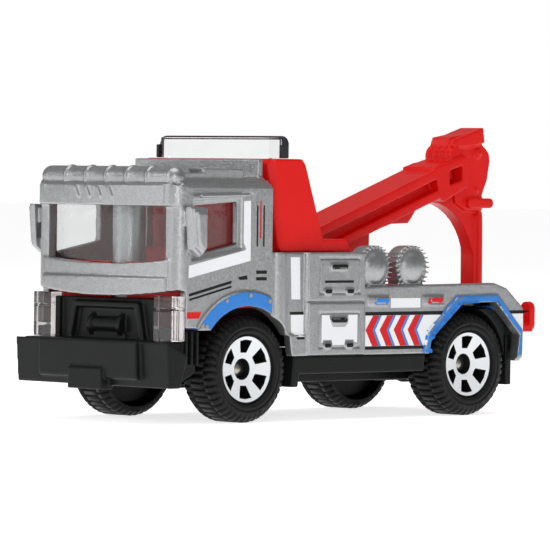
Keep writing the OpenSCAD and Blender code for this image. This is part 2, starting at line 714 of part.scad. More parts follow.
module tow_boom() {
    arm_end = foot_y - 9;
    flange = 1.35;
    web_half = 1.4;
    leg_half = leg_w / 2;
    head_half = arm_w / 2 - 0.85;
    top = arm_z(arm_end) + half_d;
    keel_end = pivot_y + 19.2;
    lug = [keel_end + 4, keel_end + 7];
    color(red) difference() {
        union() {
            // flanged arm
            slab(arm_strip(pivot_y, arm_end + 3, -half_d, half_d), -web_half, web_half);
            slab(arm_strip(pivot_y + 1, arm_end + 1, half_d - flange, half_d), -arm_w / 2, arm_w / 2);
            slab(arm_strip(pivot_y + 1, arm_end + 1, -half_d, -half_d + flange - 0.2),
                -arm_w / 2, arm_w / 2);
            rod(pivot_y, pivot_z, arm_d / 2 + 0.1, -arm_w / 2, arm_w / 2);
            slab(arm_strip(pivot_y, pivot_y + 6, -half_d, half_d), -arm_w / 2, arm_w / 2);
            // keel that rests on the deck, and the rib under the arm
            slab([[pivot_y + 5, z_deck + 0.15], [pivot_y + 5, arm_z(pivot_y + 5)],
                [keel_end, arm_z(keel_end)], [keel_end - 0.2, z_deck + 0.15]], -leg_half, leg_half);
            slab([[keel_end - 1, arm_z(keel_end - 1)], [keel_end - 1, arm_z(keel_end) - half_d - 0.8],
                [lug[0], arm_z(lug[0]) - half_d - 0.8], [lug[1], arm_z(lug[0]) - half_d - 0.7],
                [lug[1] + 2.2, arm_z(lug[1] + 2.2) - half_d + 0.2]], -leg_half, leg_half);
            // raised pad on the arm
            slab([[arm_end - 0.5, top - 1.4], [arm_end - 0.5, top + 0.25], [arm_end + 1, top + 0.8],
                [arm_end + 4.4, top + 0.8], [arm_end + 4.4, top - 1.4]], -arm_w / 2 + 0.5, arm_w / 2 - 0.5);
            boom_head(arm_end, head_half);
            leg(leg_half);
            wheel_lift();
        }
        rod(pivot_y, pivot_z, pin_r + fit_gap, -cut, cut);
        // pockets in the sides of the head block
        both_sides() slab([[foot_y - 6.5, head_z - 7.6], [foot_y - 6.5, head_z - 5.7],
            [foot_y - 4.1, head_z - 5], [foot_y - 4.1, head_z - 6.9]], web_half - 0.6, cut);
    }
}

module boom_head(arm_end, half) {
    // side plates
    slab([[foot_y - 9.4, head_z - 5.3], [foot_y - 3.2, head_z - 3.7], [foot_y - 3.2, head_z - 7.8],
        [foot_y - 7.4, head_z - 9.7], [foot_y - 8.2, head_z - 9.3]], -arm_w / 2, arm_w / 2);
    // back of the head, from the cap down to the collar
    slab([[foot_y - 4, head_z - 9.8], [foot_y - 5.4, head_z - 1.4], [foot_y + 0.6, head_z - 0.4],
        [foot_y + 0.9, head_z - 2.2], [foot_y + 2.2, head_z - 3.3], [foot_y + 2.4, head_z - 4.4],
        [foot_y + 1.9, head_z - 6.9], [foot_y + 1, head_z - 8.8], [foot_y + 1, head_z - 10.8],
        [foot_y - 2, head_z - 10.8]], -half + 0.5, half - 0.5);
    // cap
    slab([[foot_y - 5.2, head_z - 2.5], [foot_y - 5, head_z - 1.75], [foot_y + 0.6, head_z],
        [foot_y + 0.9, head_z - 2], [foot_y - 2, head_z - 2.6]], -half, half);
    // cable drum with its ribs
    drum_y = foot_y - 4.5;
    drum_z = head_z - 3.8;
    rod(drum_y, drum_z, 1.15, -half - 0.15, half + 0.15);
    for (x = [-2.2, -1.1, 0, 1.1]) rod(drum_y, drum_z, 1.4, x - 0.05, x + 0.55);
    // rivet heads on both sides
    both_sides() {
        translate([half - 0.6, foot_y, head_z - 3.4]) sphere(r = 0.65, $fn = 32);
        translate([half - 0.6, foot_y - 0.2, head_z - 8.2]) sphere(r = 0.4, $fn = 32);
    }
    // collar over the leg
    pill(foot_y - 2.2, foot_y + 2.6, head_z - 10.5, head_z - 9.2, -half - 0.1, half + 0.1);
}

// Leg, and the arch that blends it into the arm
module leg(half) {
    arch = 8.2;
    slab([[foot_y, z_keel + 6.6], [foot_y - 0.2, head_z - 11.4], [foot_y + 1.6, head_z - 11.4],
        [foot_y + leg_d, z_keel + 6.6]], -half, half);
    block([-half - 0.25, foot_y + 0.5, z_keel + 6.6], [half + 0.25, foot_y + 1.2, head_z - 11]);
    difference() {
        slab([[foot_y - arch, head_z - 11], [foot_y - arch, head_z - 8], [foot_y + 1, head_z - 8],
            [foot_y + 1, head_z - 17.5], [foot_y - 0.2, head_z - 17.5]], -half + 0.2, half - 0.2);
        translate([0, foot_y - arch, head_z - 9.8 - arch]) rotate([0, 90, 0])
            cylinder(h = cut, r = arch, center = true, $fn = 96);
    }
}

// Cross bar behind the tail, with two cradle arms
module wheel_lift() {
    z0 = z_keel + 6.1;
    bar = 1.7;
    tip_y = y_tail + lift_reach;
    hook_r = 0.9;
    block([-lift_half, foot_y, z0], [lift_half, foot_y + leg_d, z0 + bar]);
    both_sides() {
        block([lift_half - 2 * hook_r, foot_y, z0], [lift_half, tip_y - 0.5, z0 + hook_r]);
        // hook with round ends
        translate([lift_half - hook_r, tip_y, z0]) rotate([90, 0, 0]) linear_extrude(1) {
            for (z = [hook_r, 3]) translate([0, z]) circle(r = hook_r);
            translate([-hook_r, hook_r]) square([2 * hook_r, 2.1]);
        }
    }
    // plate that braces the bar against the leg
    block([-2.4, foot_y + 0.2, z0 + bar - eps], [2.4, foot_y + 1.4, z0 + 4]);
}

module boom_pin() {
    half = bay_half + ear_t + 0.3;
    head = 0.5;
    color(steel) {
        rod(pivot_y, pivot_z, pin_r, -half - head, half);
        rod(pivot_y, pivot_z, pin_r + 0.45, -half - head, -half);
    }
}

// ---- Wheels and axles ----
hub_x = x_tyre - 2.5;         // floor of the hub hole, where the axle head sits

module axle_at(y) {
    reach = hub_x + seat;
    head_r = hub_hole_r - 0.2;
    head_h = 0.55;
    color(steel) translate([0, y, z_axle]) {
        rotate([0, 90, 0]) cylinder(h = 2 * reach + 0.2, r = axle_r, center = true);
        both_sides() translate([reach, 0, 0]) rotate([0, 90, 0]) rotate_extrude() intersection() {
            translate([0, head_h - 1.3]) circle(r = 1.3, $fn = 64);
            square([head_r, head_h]);
        }
    }
}

module front_axle() {
    axle_at(y_fa);
}

module rear_axle() {
    axle_at(y_ra);
}

// One-piece wheel: tyre, dished disc with wedge windows, hub hole and bore
module wheel() {
    face = x_tyre - 0.5;
    dish = 0.85;
    window_r = [hub_hole_r + 0.8, disc_r - 0.6];
    difference() {
        rotate([90, 0, 90]) rotate_extrude($fn = 96) polygon([[axle_r + fit_gap, x_hub + 0.4],
            [2.2, x_hub + 0.4], [2.2, x_hub + 1.6], [tyre_r - 1.6, x_hub + 1.6],
            [tyre_r - 1.2, x_hub], [tyre_r - 0.5, x_hub],
            [tyre_r, x_hub + 0.8], [tyre_r, x_tyre - 0.9], [tyre_r - 0.5, x_tyre - 0.15],
            [tyre_r - 1.3, x_tyre], [disc_r + 0.35, x_tyre - 0.1], [disc_r, face],
            [hub_hole_r, face - dish], [hub_hole_r, hub_x],
            [axle_r + fit_gap, hub_x]]);
        for (i = [0:spokes - 1]) rotate([i * 360 / spokes, 0, 0]) translate([face - 2.2, 0, 0])
            rotate([90, 0, 90]) linear_extrude(cut) polygon([[-0.45, window_r[0]], [0.45, window_r[0]],
                [0.98, window_r[1]], [0, window_r[1] + 0.15], [-0.98, window_r[1]]]);
    }
}

module wheel_at(y) {
    color(black) translate([0, y, z_axle]) wheel();
}

module wheel_front_left() {
    wheel_at(y_fa);
}

module wheel_front_right() {
    color(black) translate([0, y_fa, z_axle]) mirror([1, 0, 0]) wheel();
}

module wheel_rear_left() {
    wheel_at(y_ra);
}

module wheel_rear_right() {
    color(black) translate([0, y_ra, z_axle]) mirror([1, 0, 0]) wheel();
}

body_casting();
base_plate();
window_insert();
headlight_left();
headlight_right();
light_bar_frame();
light_bar_lens();
cab_interior();
deck_insert();
tow_boom();
boom_pin();
front_axle();
rear_axle();
wheel_front_left();
wheel_front_right();
wheel_rear_left();
wheel_rear_right();
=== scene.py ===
import math

import bmesh
import bpy
from mathutils import Matrix, Vector
from mathutils.bvhtree import BVHTree


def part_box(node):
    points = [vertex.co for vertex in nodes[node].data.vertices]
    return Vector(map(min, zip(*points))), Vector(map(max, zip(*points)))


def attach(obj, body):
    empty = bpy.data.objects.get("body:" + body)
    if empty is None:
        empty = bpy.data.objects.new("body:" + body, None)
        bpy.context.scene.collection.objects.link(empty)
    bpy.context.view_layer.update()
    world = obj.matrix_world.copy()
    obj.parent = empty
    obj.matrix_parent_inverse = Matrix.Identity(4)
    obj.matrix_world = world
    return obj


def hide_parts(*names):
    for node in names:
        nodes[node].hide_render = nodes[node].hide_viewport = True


mm = 0.001
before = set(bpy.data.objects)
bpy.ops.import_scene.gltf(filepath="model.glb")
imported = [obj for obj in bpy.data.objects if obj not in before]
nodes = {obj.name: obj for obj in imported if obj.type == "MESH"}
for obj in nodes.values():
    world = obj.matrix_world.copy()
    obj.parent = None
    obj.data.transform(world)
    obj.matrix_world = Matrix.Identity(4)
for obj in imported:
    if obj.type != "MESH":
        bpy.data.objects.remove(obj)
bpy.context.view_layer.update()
scene = bpy.context.scene
scene.view_settings.view_transform = "Standard"

axleLow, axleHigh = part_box("front_axle")
frontAxle = (axleLow + axleHigh) / 2
rearLow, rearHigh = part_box("rear_axle")
rearAxle = (rearLow + rearHigh) / 2
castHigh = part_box("body_casting")[1]
side = castHigh.x - 1.6 * mm              # where the drip rails run, 0.7 mm outside the panels
wheelbase = (rearAxle.y - frontAxle.y) / mm
print("frame loaded, wheelbase", round(wheelbase, 2), "mm")


viewer = {
    "azimuth": 45.775, "elevation": 1.098, "roll": 0.766,   # degrees
    "distance": 595.66, "slide": 12.11, "lift": 17.66,      # mm from the front axle's middle on the ground
    "lens": 316.95, "sensor": 36,                           # mm
    "near": 0.01, "far": 20,                                # metres
}


def addCamera(spec):
    az, el, roll = (math.radians(spec[k]) for k in ("azimuth", "elevation", "roll"))
    back = Vector((math.sin(az) * math.cos(el), -math.cos(az) * math.cos(el), math.sin(el)))
    level = Vector((math.cos(az), math.sin(az), 0))
    upright = back.cross(level)
    right = level * math.cos(roll) + upright * math.sin(roll)
    up = upright * math.cos(roll) - level * math.sin(roll)
    data = bpy.data.cameras.new("camera")
    data.lens, data.sensor_width = spec["lens"], spec["sensor"]
    data.clip_start, data.clip_end = spec["near"], spec["far"]
    camera = bpy.data.objects.new("camera", data)
    place = (back * spec["distance"] + right * spec["slide"] + up * spec["lift"]) * mm
    place.y += frontAxle.y
    turn = Matrix((right, up, back)).transposed().to_4x4()
    camera.matrix_world = Matrix.Translation(place) @ turn
    scene.collection.objects.link(camera)
    scene.camera = camera


addCamera(viewer)


class Val:
    # a node output that takes part in Python arithmetic
    def __init__(self, shader, socket):
        self.shader, self.socket = shader, socket

    def maths(self, operation, *values):
        return self.shader.node("ShaderNodeMath", {"operation": operation}, dict(enumerate(values)))

    def __add__(self, other):
        return self.maths("ADD", self, other)

    def __sub__(self, other):
        return self.maths("SUBTRACT", self, other)

    def __rsub__(self, other):
        return self.maths("SUBTRACT", other, self)

    def __mul__(self, other):
        return self.maths("MULTIPLY", self, other)

    __radd__, __rmul__ = __add__, __mul__

    def clamp(self, low, high):
        return self.shader.node("ShaderNodeClamp", {}, {"Value": self, "Min": low, "Max": high})


class Shader:
    def __init__(self, name):
        self.material = bpy.data.materials.new(name)
        self.material.use_nodes = True
        self.tree = self.material.node_tree
        self.tree.nodes.clear()
        self.end = self.tree.nodes.new("ShaderNodeOutputMaterial")

    def node(self, kind, settings=None, inputs=None, output=0):
        made = self.tree.nodes.new(kind)
        for key, value in (settings or {}).items():
            setattr(made, key, value)
        for key, value in (inputs or {}).items():
            socket = made.inputs[key]
            if isinstance(value, Val):
                self.tree.links.new(value.socket, socket)
            elif isinstance(value, tuple) and len(value) == 3 and socket.type == "RGBA":
                socket.default_value = (*value, 1)
            else:
                socket.default_value = value
        return Val(self, made.outputs[output])

    def place(self):
        return self.node("ShaderNodeTexCoord", output="Object")

    def noise(self, size, detail=2, rough=0.5):
        # size is the width of a typical blotch, in mm
        return self.node("ShaderNodeTexNoise", {}, {"Vector": self.place(), "Scale": 1 / (size * mm),
            "Detail": detail, "Roughness": rough}, "Fac")

    def mix(self, share, low, high):
        return self.node("ShaderNodeMix", {"data_type": "RGBA"}, {0: share, 6: low, 7: high}, 2)

    def vector(self, operation, first, second):
        return self.node("ShaderNodeVectorMath", {"operation": operation}, {0: first, 1: second})

    def bump(self, height, depth):
        # depth is how far a height of 1 stands out, in mm
        return self.node("ShaderNodeBump", {}, {"Height": height, "Distance": depth * mm, "Strength": 1.0})

    def finish(self, inputs):
        skin = self.node("ShaderNodeBsdfPrincipled", {}, inputs)
        self.tree.links.new(skin.socket, self.end.inputs["Surface"])
        return self.material


def silverPaint():
    look = {"dark": (0.27, 0.275, 0.28), "pale": (0.44, 0.445, 0.45), "flake": 0.085, "tilt": 0.22}
    s = Shader("silver_paint")
    cells = s.node("ShaderNodeTexVoronoi", {"feature": "F1"}, {"Vector": s.place(),
        "Scale": 1 / (look["flake"] * mm)}, "Color")
    fine = s.node("ShaderNodeSeparateColor", {}, {"Color": cells})
    cloudy = s.noise(1.1, 4, 0.65)
    share = (fine * 0.6 + cloudy * 0.5).clamp(0, 1)
    normal = s.node("ShaderNodeNewGeometry", output="Normal")
    lean = s.vector("MULTIPLY", s.vector("SUBTRACT", cells, (0.5, 0.5, 0.5)), (look["tilt"],) * 3)
    tilted = s.vector("NORMALIZE", s.vector("ADD", normal, lean), (0, 0, 0))
    return s.finish({"Base Color": s.mix(share, look["dark"], look["pale"]),
        "Metallic": 0.85, "Roughness": 0.38 - fine * 0.08 + cloudy * 0.05, "Normal": tilted,
        "Coat Weight": 0.15, "Coat Roughness": 0.12})


def mouldedPlastic(name, low, high, rough, spread, grain, specular=0.5):
    s = Shader(name)
    cloudy = s.noise(2.6, 3)
    fine = s.noise(grain, 2)
    return s.finish({"Base Color": s.mix(cloudy, low, high),
        "Roughness": fine * spread + (rough - spread / 2),
        "Normal": s.bump(fine * 0.5 + cloudy, 0.012), "Specular IOR Level": specular})


def clearPlastic(name, low, high):
    s = Shader(name)
    wavy = s.noise(1.7, 2)
    return s.finish({"Base Color": s.mix(wavy, low, high),
        "Roughness": wavy * 0.03 + 0.01, "Normal": s.bump(wavy, 0.008),
        "Transmission Weight": 1.0, "IOR": 1.46})


def ink(name, low, high):
    s = Shader(name)
    patchy = s.noise(0.35, 3, 0.6)
    return s.finish({"Base Color": s.mix(patchy, low, high), "Roughness": patchy * 0.15 + 0.3,
        "Normal": s.bump(patchy, 0.006), "Specular IOR Level": 0.15})


def steelWire():
    s = Shader("steel_wire")
    drawn = s.noise(0.5, 4, 0.7)
    return s.finish({"Base Color": s.mix(drawn, (0.30, 0.28, 0.25), (0.55, 0.52, 0.47)), "Metallic": 1.0,
        "Roughness": drawn * 0.3 + 0.18, "Normal": s.bump(drawn, 0.01)})


finishes = {
    "silver_paint": silverPaint(),
    "red_plastic": mouldedPlastic("red_plastic", (0.66, 0.004, 0.003), (0.76, 0.008, 0.006),
        0.34, 0.12, 0.4, 0.2),
    "black_plastic": mouldedPlastic("black_plastic", (0.005, 0.006, 0.0055), (0.009, 0.010, 0.0095),
        0.36, 0.16, 0.3, 0.16),
    "wheel_plastic": mouldedPlastic("wheel_plastic", (0.004, 0.004, 0.0045), (0.008, 0.008, 0.0085),
        0.42, 0.2, 0.25, 0.2),
    "charcoal_plastic": mouldedPlastic("charcoal_plastic", (0.014, 0.017, 0.021), (0.024, 0.027, 0.033),
        0.32, 0.1, 0.4, 0.25),
    "clear_plastic": clearPlastic("clear_plastic", (0.86, 0.88, 0.88), (0.95, 0.96, 0.96)),
    # clear plastic tinted dark: painted shade for the lamps, which are clear and only look dark from the
    # shaded interior seen through them
    "shade_tinted_clear": clearPlastic("shade_tinted_clear", (0.34, 0.31, 0.31), (0.60, 0.57, 0.57)),
    "steel_wire": steelWire(),
}
inks = {
    "white": ink("white_ink", (0.80, 0.82, 0.84), (0.87, 0.89, 0.91)),
    "blue": ink("blue_ink", (0.036, 0.205, 0.600), (0.050, 0.240, 0.680)),
    "red": ink("red_ink", (0.60, 0.012, 0.014), (0.70, 0.020, 0.020)),
    "black": ink("black_ink", (0.008, 0.008, 0.009), (0.016, 0.016, 0.017)),
}
print("materials made")


def newObject(name, mesh, material, body):
    piece = bpy.data.objects.new(name, mesh)
    scene.collection.objects.link(piece)
    mesh.materials.clear()
    mesh.materials.append(material)
    for face in mesh.polygons:
        face.use_smooth = True
    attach(piece, body)
    return piece


def addRod(shape, start, end, radius):
    # a closed rod between two points in mm
    start, end = Vector(start), Vector(end)
    turn = (end - start).to_track_quat("Z", "Y").to_matrix().to_4x4()
    place = Matrix.Translation((start + end) / 2) @ turn
    bmesh.ops.create_cone(shape, cap_ends=True, segments=16, radius1=radius, radius2=radius,
        depth=(end - start).length, matrix=place)


trim = {
    # mm, Y from the front axle
    "rail": ((-9.4, 27.45), (-1.3, 27.65), 0.24),       # ends and radius
    "ribs": (-4, -2, 0, 2), "ribFoot": 27.2, "ribTop": 28.5, "ribLean": -0.35, "ribRadius": 0.2,
    "nose": -13.4, "bow": 0.9,
    "dollyWheels": (22.05, 28.7), "dollyHeight": 18.8, "dollyRadius": 2.64,
    "knurls": 26, "knurlRadius": 0.13, "knurlDepths": (3, 1.1),     # ends, in from the drip rails
}


def castingTrim(shape):
    # drip rails, ribs on the brow and the knurled treads of the dolly wheels
    y0, half = frontAxle.y / mm, side / mm
    inner, outer = trim["knurlDepths"]
    for sign in (1, -1):
        (y1, z1), (y2, z2), radius = trim["rail"]
        addRod(shape, (sign * half, y0 + y1, z1), (sign * half, y0 + y2, z2), radius)
        for y in trim["dollyWheels"]:
            for i in range(trim["knurls"]):
                turn = 2 * math.pi * i / trim["knurls"]
                place = (y0 + y + trim["dollyRadius"] * math.cos(turn),
                    trim["dollyHeight"] + trim["dollyRadius"] * math.sin(turn))
                addRod(shape, (sign * (half - inner), *place), (sign * (half - outer), *place),
                    trim["knurlRadius"])
    for x in trim["ribs"]:
        nose, lean = y0 + trim["nose"] + trim["bow"] * (x / half) ** 2, trim["ribLean"]
        addRod(shape, (x - lean, nose, trim["ribFoot"]), (x + lean, nose, trim["ribTop"]),
            trim["ribRadius"])


def evaluated(holder):
    bpy.context.view_layer.update()
    return holder.evaluated_get(bpy.context.evaluated_depsgraph_get())


def softened(name, cad, extras, voxel, smoothing, faces, press=None):
    # a CAD solid and extra solids merged into one skin with the round edges of a moulding;
    # press moves the points of that skin before it is thinned
    shape = bmesh.new()
    shape.from_mesh(nodes[cad].data)
    bmesh.ops.scale(shape, vec=(1 / mm,) * 3, verts=shape.verts)
    bmesh.ops.remove_doubles(shape, verts=shape.verts, dist=0.0005)
    if extras:
        extras(shape)
    rough = bpy.data.meshes.new(name + "_rough")
    shape.to_mesh(rough)
    shape.free()
    holder = bpy.data.objects.new(name + "_rough", rough)
    scene.collection.objects.link(holder)
    skin = holder.modifiers.new("skin", "REMESH")
    skin.mode, skin.voxel_size, skin.adaptivity = "VOXEL", voxel, 0
    ease = holder.modifiers.new("ease", "SMOOTH")
    ease.factor, ease.iterations = 0.5, smoothing
    if press:
        full = bpy.data.meshes.new_from_object(evaluated(holder))
        holder.modifiers.clear()
        holder.data = full
        press(full)
    dense = len(evaluated(holder).data.polygons)
    thin = holder.modifiers.new("thin", "DECIMATE")
    thin.ratio = min(1, faces / (2 * dense))        # the quads are split in two first
    result = bpy.data.meshes.new_from_object(evaluated(holder))
    result.name = name
    result.transform(Matrix.Diagonal((mm, mm, mm, 1)))
    bpy.data.objects.remove(holder)
    bpy.data.meshes.remove(rough)
    print(name, dense, "to", len(result.polygons), "faces")
    return result


def evenShading(piece):
    evened = piece.modifiers.new("even shading", "WEIGHTED_NORMAL")
    evened.mode, evened.weight = "FACE_AREA", 50


mouldings = {
    # piece: CAD node, body, slot, voxel mm, smoothing rounds, triangles kept, added solids
    "cast_body": ("body_casting", "truck", "silver_paint", 0.12, 5, 90000, castingTrim),
    "moulded_base": ("base_plate", "truck", "black_plastic", 0.13, 4, 50000, None),
    "moulded_deck": ("deck_insert", "truck", "red_plastic", 0.13, 5, 30000, None),
    "moulded_boom": ("tow_boom", "boom", "red_plastic", 0.11, 5, 50000, None),
    "moulded_interior": ("cab_interior", "truck", "red_plastic", 0.13, 4, 16000, None),
    "bar_frame": ("light_bar_frame", "truck", "charcoal_plastic", 0.09, 4, 8000, None),
    "lamp_left": ("headlight_left", "truck", "clear_plastic", 0.07, 3, 9000, None),
    "lamp_right": ("headlight_right", "truck", "clear_plastic", 0.07, 3, 9000, None),
    "bar_lens": ("light_bar_lens", "truck", "clear_plastic", 0.08, 3, 8000, None),
}
pieces = {}
for name, (cad, body, slotName, voxel, rounds, faces, extras) in mouldings.items():
    mesh = softened(name, cad, extras, voxel, rounds, faces)
    # the lamps get the dark tinted clear plastic, painted shade standing in for the shaded interior behind
    # them
    look = "shade_tinted_clear" if name.startswith("lamp") else slotName
    pieces[name] = newObject(name, mesh, finishes[look], body)
    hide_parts(cad)
    evenShading(pieces[name])

kept = {"boom_pin": "steel_wire", "front_axle": "steel_wire", "rear_axle": "steel_wire",
    "window_insert": "clear_plastic"}
for cad, look in kept.items():
    nodes[cad].data.materials.clear()
    nodes[cad].data.materials.append(finishes[look])
print("mouldings made")

tyre = {
    "radius": frontAxle.z / mm, "lugs": 44, "groove": 0.38, "depth": 0.3,     # groove is a share of the pitch
    "shoulder": 1.35, "channel": 0.35,        # width of a shoulder row and of the channel beside it
    "ring": (4.1, 4.38), "ringDepth": 0.3,    # groove around the disc
    "sidewall": (4.95, 5.1), "sidewallDepth": 0.12,
    "band": 0.75, "lugEdge": 0.08, "ringEdge": 0.07, "face": 0.8,
    # depth of the band with lugs, width of a groove's slopes (a share of the pitch, then mm),
    # and how far in from the outer face the rings are cut
}


def pressTread(mesh):
    # lugs on the shoulders, staggered blocks between them, and the rings of the sidewall
    low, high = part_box("wheel_front_left")
    inside, outside = low.x / mm, high.x / mm
    middle, half = (inside + outside) / 2, (outside - inside) / 2
    for point in mesh.vertices:
        y, z = point.co.y - frontAxle.y / mm, point.co.z - frontAxle.z / mm
        r = math.hypot(y, z)
        turn = math.atan2(z, y) / (2 * math.pi) * tyre["lugs"]
        fromEdge = half - abs(point.co.x - middle)
        if r > tyre["radius"] - tyre["band"]:
            row = 0 if fromEdge < tyre["shoulder"] else 0.5
            phase = (turn + row) % 1
            inGroove = phase < tyre["groove"]
            across = min(phase, tyre["groove"] - phase) / tyre["lugEdge"] if inGroove else 0
            along = 1 - abs(fromEdge - tyre["shoulder"] - tyre["channel"] / 2) / (tyre["channel"] / 2)
            deep = max(min(across, 1), min(max(along * 2, 0), 1), 0)
            share = 1 - tyre["depth"] * deep / r
            point.co.y = frontAxle.y / mm + y * share
            point.co.z = frontAxle.z / mm + z * share
        for cut in ("ring", "sidewall"):
            near, far = tyre[cut]
            if near < r < far and point.co.x > outside - tyre["face"]:
                slope = tyre["ringEdge"]
                point.co.x -= tyre[cut + "Depth"] * min((r - near) / slope, (far - r) / slope, 1)


tyreMesh = softened("tyre", "wheel_front_left", None, 0.085, 2, 26000, pressTread)
wheelBodies = {
    # CAD node: body, axle, side
    "wheel_front_left": ("front_left_wheel", frontAxle, 1),
    "wheel_front_right": ("front_right_wheel", frontAxle, -1),
    "wheel_rear_left": ("rear_left_wheel", rearAxle, 1),
    "wheel_rear_right": ("rear_right_wheel", rearAxle, -1),
}


def moved(mesh, name, axle, sideSign):
    # a copy of a front left wheel's mesh for another wheel
    result = mesh.copy()
    result.name = name
    shift = Matrix.Translation((0, axle.y - frontAxle.y, 0)) @ Matrix.Diagonal((sideSign, 1, 1, 1))
    result.transform(shift)
    if sideSign < 0:
        result.flip_normals()
    return result


def circle(radius, count, centre=(0, 0), start=0.0, stop=360.0):
    # points in Y and Z; a full circle leaves out its last point
    whole = stop - start == 360
    steps = count if whole else count - 1
    angles = [math.radians(start + (stop - start) * i / steps) for i in range(count)]
    return [(centre[0] + radius * math.cos(a), centre[1] + radius * math.sin(a)) for a in angles]


def treeOf(mesh):
    # a search tree in mm
    return BVHTree.FromPolygons([v.co / mm for v in mesh.vertices],
        [tuple(f.vertices) for f in mesh.polygons])


printSkin = {"top": 0.03, "root": 0.04, "reach": 40}     # mm; reach is outside every surface


def drape(shape, tree, loops, sideSign, lift, cell):
    # a thin closed skin with the outline of the first loop, less the other loops, laid on the side of a
    # surface; loops are in mm from the front axle, and lift puts one print over another
    flat = bmesh.new()
    edges = []
    for loop in loops:
        corners = [flat.verts.new((0, frontAxle.y / mm + y, z)) for y, z in loop]
        edges += [flat.edges.new((corners[i - 1], corners[i])) for i in range(len(corners))]
    bmesh.ops.triangle_fill(flat, edges=edges, use_beauty=True)
    for axis in (1, 2):
        values = [v.co[axis] for v in flat.verts]
        count = int((max(values) - min(values)) / cell)
        for i in range(1, count + 1):
            place, normal = Vector(), Vector()
            place[axis], normal[axis] = min(values) + i * cell, 1
            geometry = flat.verts[:] + flat.edges[:] + flat.faces[:]
            bmesh.ops.bisect_plane(flat, geom=geometry, plane_co=place, plane_no=normal)
    far = sideSign * printSkin["reach"]
    upper, lower = {}, {}
    for v in flat.verts:
        hit = tree.ray_cast(Vector((far, v.co.y, v.co.z)), Vector((-sideSign, 0, 0)))[0]
        x = hit.x if hit else sideSign * side / mm
        upper[v] = shape.verts.new((x + sideSign * (printSkin["top"] + lift), v.co.y, v.co.z))
        lower[v] = shape.verts.new((x - sideSign * printSkin["root"], v.co.y, v.co.z))
    for face in flat.faces:
        shape.faces.new([upper[v] for v in face.verts])
        shape.faces.new([lower[v] for v in reversed(face.verts)])
    for edge in flat.edges:
        if edge.is_boundary:
            a, b = edge.verts
            shape.faces.new((upper[a], lower[a], lower[b], upper[b]))
    flat.free()


def printed(name, shape, inkName, body):
    bmesh.ops.recalc_face_normals(shape, faces=shape.faces)
    mesh = bpy.data.meshes.new(name)
    shape.to_mesh(mesh)
    shape.free()
    mesh.transform(Matrix.Diagonal((mm, mm, mm, 1)))
    piece = bpy.data.objects.new(name, mesh)
    scene.collection.objects.link(piece)
    mesh.materials.append(inks[inkName])
    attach(piece, body)
    return piece


disc = {
    # mm; a window's ends are given as half width and radius
    "edge": 4.0, "hub": 1.32, "windowIn": (0.5, 2.0), "windowOut": (1.03, 3.47), "peak": 3.63,
    "windows": 6,
}


def discLoops(spec):
    # the printed face of a wheel: a round outline with a hub hole and wedge windows
    centre = (0, frontAxle.z / mm)
    loops = [circle(spec["edge"], 96, centre), circle(spec["hub"], 32, centre)]
    (nearHalf, near), (farHalf, far) = spec["windowIn"], spec["windowOut"]
    wedge = [(-nearHalf, near), (nearHalf, near), (farHalf, far), (0, spec["peak"]), (-farHalf, far)]
    for i in range(spec["windows"]):
        turn = math.radians(i * 360 / spec["windows"])
        c, s = math.cos(turn), math.sin(turn)
        loops.append([(centre[0] + y * c - z * s, centre[1] + y * s + z * c) for y, z in wedge])
    return loops


discShape = bmesh.new()
drape(discShape, treeOf(tyreMesh), discLoops(disc), 1, 0, 0.4)
discMesh = printed("disc_print", discShape, "white", "front_left_wheel").data
bpy.data.objects.remove(bpy.data.objects["disc_print"])
for cad, (body, axle, sideSign) in wheelBodies.items():
    corner = cad.removeprefix("wheel_")
    tyreName, discName = "tyre_" + corner, "disc_print_" + corner
    tyrePiece = newObject(tyreName, moved(tyreMesh, tyreName, axle, sideSign),
        finishes["wheel_plastic"], body)
    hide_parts(cad)
    evenShading(tyrePiece)
    discPiece = bpy.data.objects.new(discName, moved(discMesh, discName, axle, sideSign))
    scene.collection.objects.link(discPiece)
    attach(discPiece, body)
print("wheels made")

